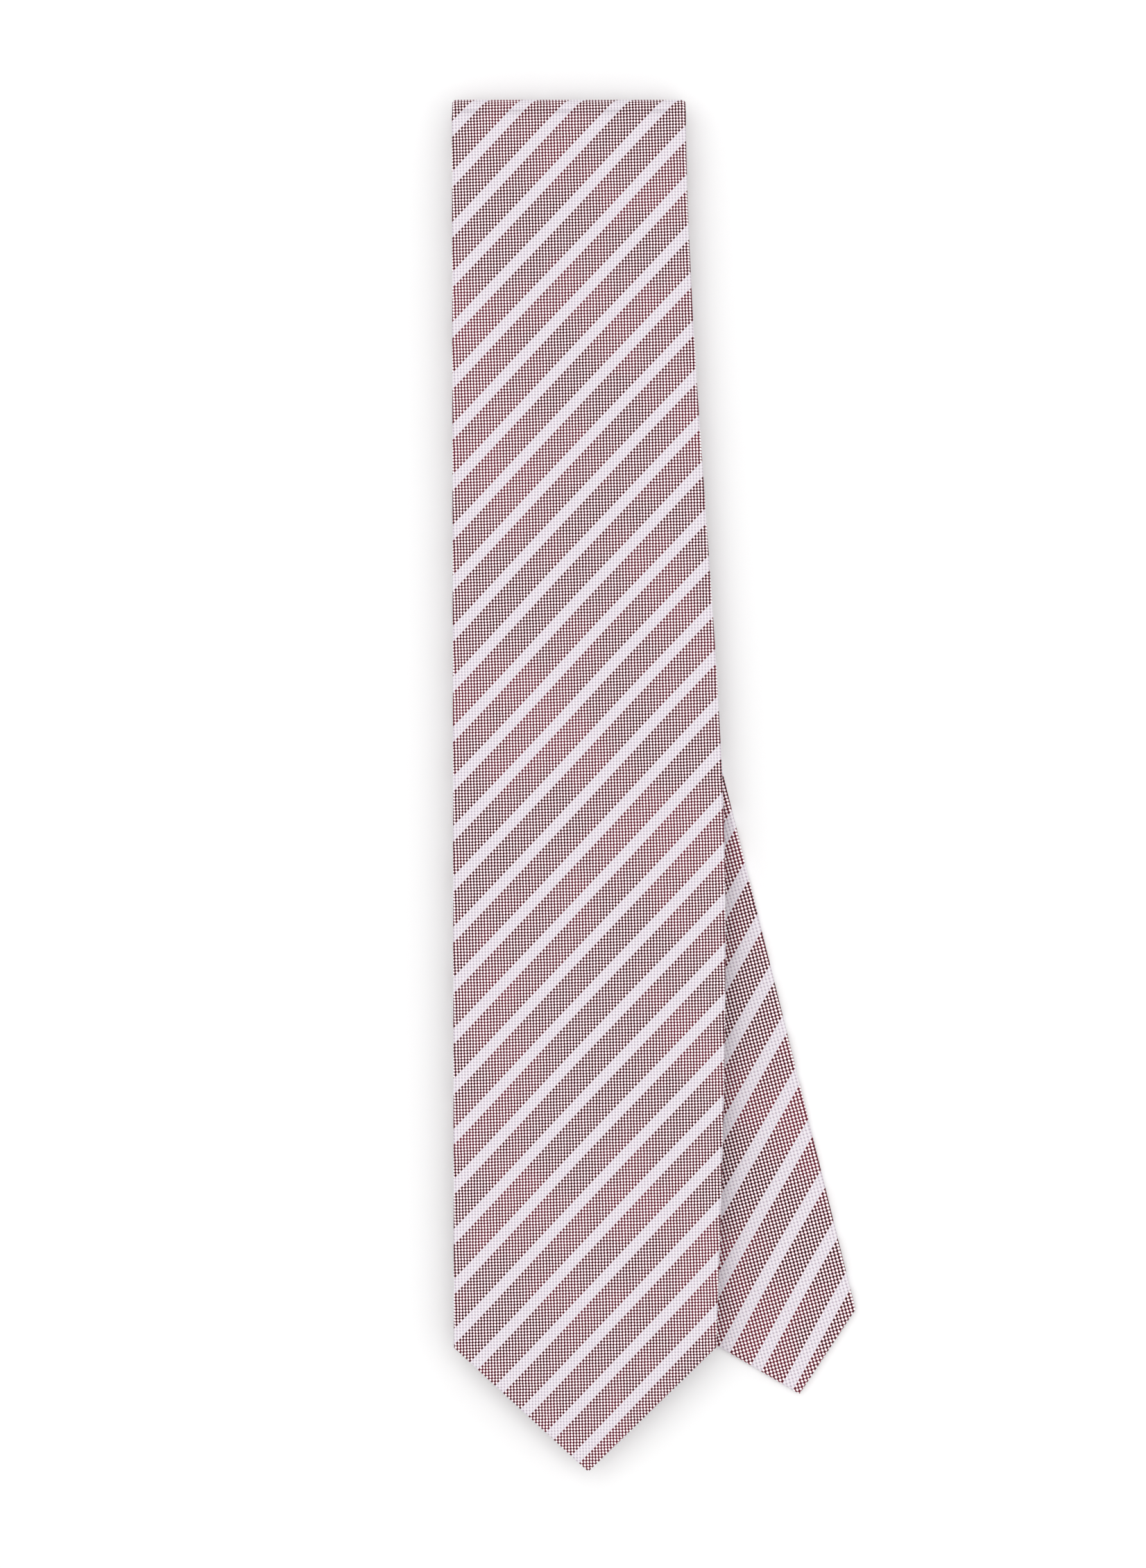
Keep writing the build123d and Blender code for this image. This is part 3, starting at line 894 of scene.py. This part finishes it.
def make_keeper_loop(material):
    """A flat strap of the same silk, sewn at both ends and standing off the back between."""
    low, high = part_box("keeper_loop")
    foot, slope, slack, half = 6 * MM, 6 * MM, 1.0 * MM, 0.26 * MM
    middle_y = (low[1] + high[1]) / 2
    width = high[1] - low[1]
    across = [width / 2 - width * k / 10 for k in range(11)]
    around = [(y, 1) for y in across] + [(y, -1) for y in reversed(across)] + [(across[0], 1)]
    cloth = Cloth()
    grid = []
    steps = 48
    for k in range(steps + 1):
        x = low[0] + (high[0] - low[0]) * k / steps
        inward = min(x - low[0], high[0] - x)
        f = min(max((inward - foot) / slope, 0.0), 1.0)
        z = high[2] - 0.3 * MM - slack * f * f * (3 - 2 * f)
        line = []
        for y, side in around:
            d = min((width / 2 - abs(y)) / (1.0 * MM), 1.0)
            thick = half * math.sqrt(max(0.0, 1 - (1 - d) ** 2)) + 0.02 * MM
            along = x - low[0] + 0.09 * noise.noise(Vector((x * 40, y * 40, 2))) * MM
            line.append(((x, middle_y + y, z + side * thick), (along, y)))
        grid.append(line)
    cloth.grid(grid)
    for end in (grid[0], grid[-1]):
        cloth.grid([end[:11], end[21:10:-1]])
    piece = cloth.build("keeper_loop_silk", material, "blade")
    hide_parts("keeper_loop")
    return piece


def spread(low, high, k, count, margin):
    """The kth of count places between low and high, the outer ones a margin in."""
    if count == 1:
        return (low + high) / 2
    return low + margin + (high - low - 2 * margin) * k / (count - 1)


def make_edge_stitches(node, name, columns, rows, length, radius=0.14 * MM, along_x=False):
    """Rows of short stitches that hold a flat piece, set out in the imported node's box."""
    cloth = Cloth()
    low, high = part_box(node)
    run = RUNS["blade"]
    for i in range(columns):
        x = spread(low[0], high[0], i, columns, length / 2 if along_x else radius)
        for k in range(rows):
            y = spread(low[1], high[1], k, rows, length / 2)
            way = Vector((length / 2, 0, 0)) if along_x else Vector((0, length / 2, 0))
            p = Vector((x, y, high[2] - 0.02 * MM)) + Vector((0, 0, lift(run, (x, y))))
            stitch(cloth, p - way, p + way, radius, -0.12 * MM)
    piece = cloth.build(name, thread_mat, "blade")
    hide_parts(node)
    return piece


# ---------------------------------------------------------------- materials

blade_silk = striped_silk("blade_silk", STRIPE_ANGLE, RUNS["blade"].world(*STRIPE_AT),
                          THREAD, DARK_THREADS)
tail_turned = math.atan2(RUNS["tail"].across.y, RUNS["tail"].across.x)
tail_silk = striped_silk("tail_silk", STRIPE_ANGLE + tail_turned, RUNS["tail"].world(*TAIL_STRIPE_AT),
                         TAIL_THREAD, TAIL_DARK_THREADS)
# The second colour of each of these is its darkest tone: painted shade in the gaps between threads and
# the grooves between lines, mixed with the random fuzz and two thread tones of the weaves and the
# random streaks of the satins.
wool = plain_cloth("interlining_wool", rgb(226, 219, 201), rgb(176, 166, 146), 1.1 * MM, 0.9, 0.3,
                   fuzz=0.8)
lining = plain_cloth("tipping_lining", rgb(118, 34, 52), rgb(62, 12, 26), 0.35 * MM, 0.4, 0.4)
thread_mat = satin("silk_thread", rgb(122, 36, 54), rgb(54, 12, 24), 0.18 * MM, twist=1.0)
label_mat = satin("label_satin", rgb(116, 34, 52), rgb(70, 16, 30), 0.25 * MM)
care_mat = satin("care_satin", rgb(244, 242, 238), rgb(206, 202, 198), 0.25 * MM)

# ---------------------------------------------------------------- pieces

for name in FOLDS:
    make_fold(name, tail_silk if name == "tail_fold" else blade_silk, wool)
for run in RUNS.values():
    silk = tail_silk if run.body.startswith("tail") else blade_silk
    shell = make_shell(run, silk)
    run.flat_size()
    run.flat_area()
    strip = make_filling(run, run.body + "_interlining", run.body + "_wool", wool,
                         1.2 * MM, -0.45 * MM, 0.7 * MM)
    run.flat_size()[0] / 2
    run.length()
    run.flat_area() / 2
    make_slip_stitches(run)
for run, reach in ((RUNS["blade"], 130 * MM), (RUNS["tail"], 85 * MM)):
    tipping = make_filling(run, run.body + "_tipping", run.body + "_lining", lining,
                           1.4 * MM, -0.62 * MM, -0.5 * MM, start=reach)
    width = run.flat_size()[0] / 2
    make_bar_tack(run)
make_piecing_stitches(RUNS["blade_neck"], "blade_piecing_stitches")
make_piecing_stitches(RUNS["tail_neck"], "tail_piecing_stitches")

loop = make_keeper_loop(blade_silk)
low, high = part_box("keeper_loop")
make_edge_stitches("keeper_loop_stitches", "keeper_loop_thread", 2, 4, 1.8 * MM)

low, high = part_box("maker_label")
size = (high[0] - low[0], high[1] - low[1])
center = ((low[0] + high[0]) / 2, (low[1] + high[1]) / 2, high[2] - 0.2 * MM)
label = slab("maker_label_satin", center, size, 0.34 * MM, label_mat, "maker_label", "blade",
             bow=0.1 * MM)
make_edge_stitches("maker_label_stitches", "maker_label_thread", 2, 6, 2.0 * MM)

low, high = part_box("care_label")
size = (high[0] - low[0], high[1] - low[1])
center = ((low[0] + high[0]) / 2, (low[1] + high[1]) / 2, (low[2] + high[2]) / 2 + 0.05 * MM)
care = slab("care_label_satin", center, size, 0.2 * MM, care_mat, "care_label", "care_label",
            bow=0.12 * MM, round_by=0.5 * MM)
make_edge_stitches("care_label_stitches", "care_label_thread", 7, 1, 2.0 * MM, along_x=True)

# ---------------------------------------------------------------- stage, light and camera

FLOOR = 3.0                  # half its side
FLOOR_DROP = 0.3 * MM        # keeps it clear of the lowest cloth
FLOOR_TONE = 0.95
SKY_STRENGTH = 0.82
KEY_POWER, FILL_POWER = 11.5, 8
SOFT_BOX = (2.0, 2.0)
LENS, SENSOR = 150, 36
VIEW_HEIGHT = 481.7 * MM
VIEW_CENTER = (-25.0 * MM, 0.35 * MM)
floor_mesh = bpy.data.meshes.new("floor")
corners = [(-FLOOR, -FLOOR, 0), (FLOOR, -FLOOR, 0), (FLOOR, FLOOR, 0), (-FLOOR, FLOOR, 0)]
floor_mesh.from_pydata(corners, [], [(0, 1, 2, 3)])
floor = bpy.data.objects.new("floor", floor_mesh)
bpy.context.scene.collection.objects.link(floor)
floor.location.z = -FLOOR_DROP
paper = bpy.data.materials.new("pale_table")
paper.use_nodes = True
paper_shader = paper.node_tree.nodes["Principled BSDF"]
paper_shader.inputs["Base Color"].default_value = (FLOOR_TONE, FLOOR_TONE, FLOOR_TONE, 1)
paper_shader.inputs["Roughness"].default_value = 0.9
floor_mesh.materials.append(paper)
bpy.context.scene.view_settings.view_transform = "Standard"

world = bpy.data.worlds.new("studio")
world.use_nodes = True
world.node_tree.nodes["Background"].inputs["Color"].default_value = (1, 1, 1, 1)
world.node_tree.nodes["Background"].inputs["Strength"].default_value = SKY_STRENGTH
bpy.context.scene.world = world


def soft_box(name, place, aim, size, power):
    light = bpy.data.lights.new(name, "AREA")
    light.shape = "RECTANGLE"
    light.size, light.size_y = size
    light.energy = power
    lamp = bpy.data.objects.new(name, light)
    lamp.location = place
    lamp.rotation_euler = (Vector(aim) - Vector(place)).to_track_quat("-Z", "Y").to_euler()
    bpy.context.scene.collection.objects.link(lamp)


soft_box("key", (-0.6, 0.5, 2.0), (0, 0, 0), SOFT_BOX, KEY_POWER)
soft_box("fill", (0.8, -0.4, 2.0), (0, 0, 0), SOFT_BOX, FILL_POWER)

camera_data = bpy.data.cameras.new("camera")
camera_data.lens = LENS
camera_data.sensor_width = SENSOR
camera = bpy.data.objects.new("camera", camera_data)
bpy.context.scene.collection.objects.link(camera)
distance = VIEW_HEIGHT * camera_data.lens / camera_data.sensor_width
camera.location = (*VIEW_CENTER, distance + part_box("blade_shell")[1][2])
bpy.context.scene.camera = camera
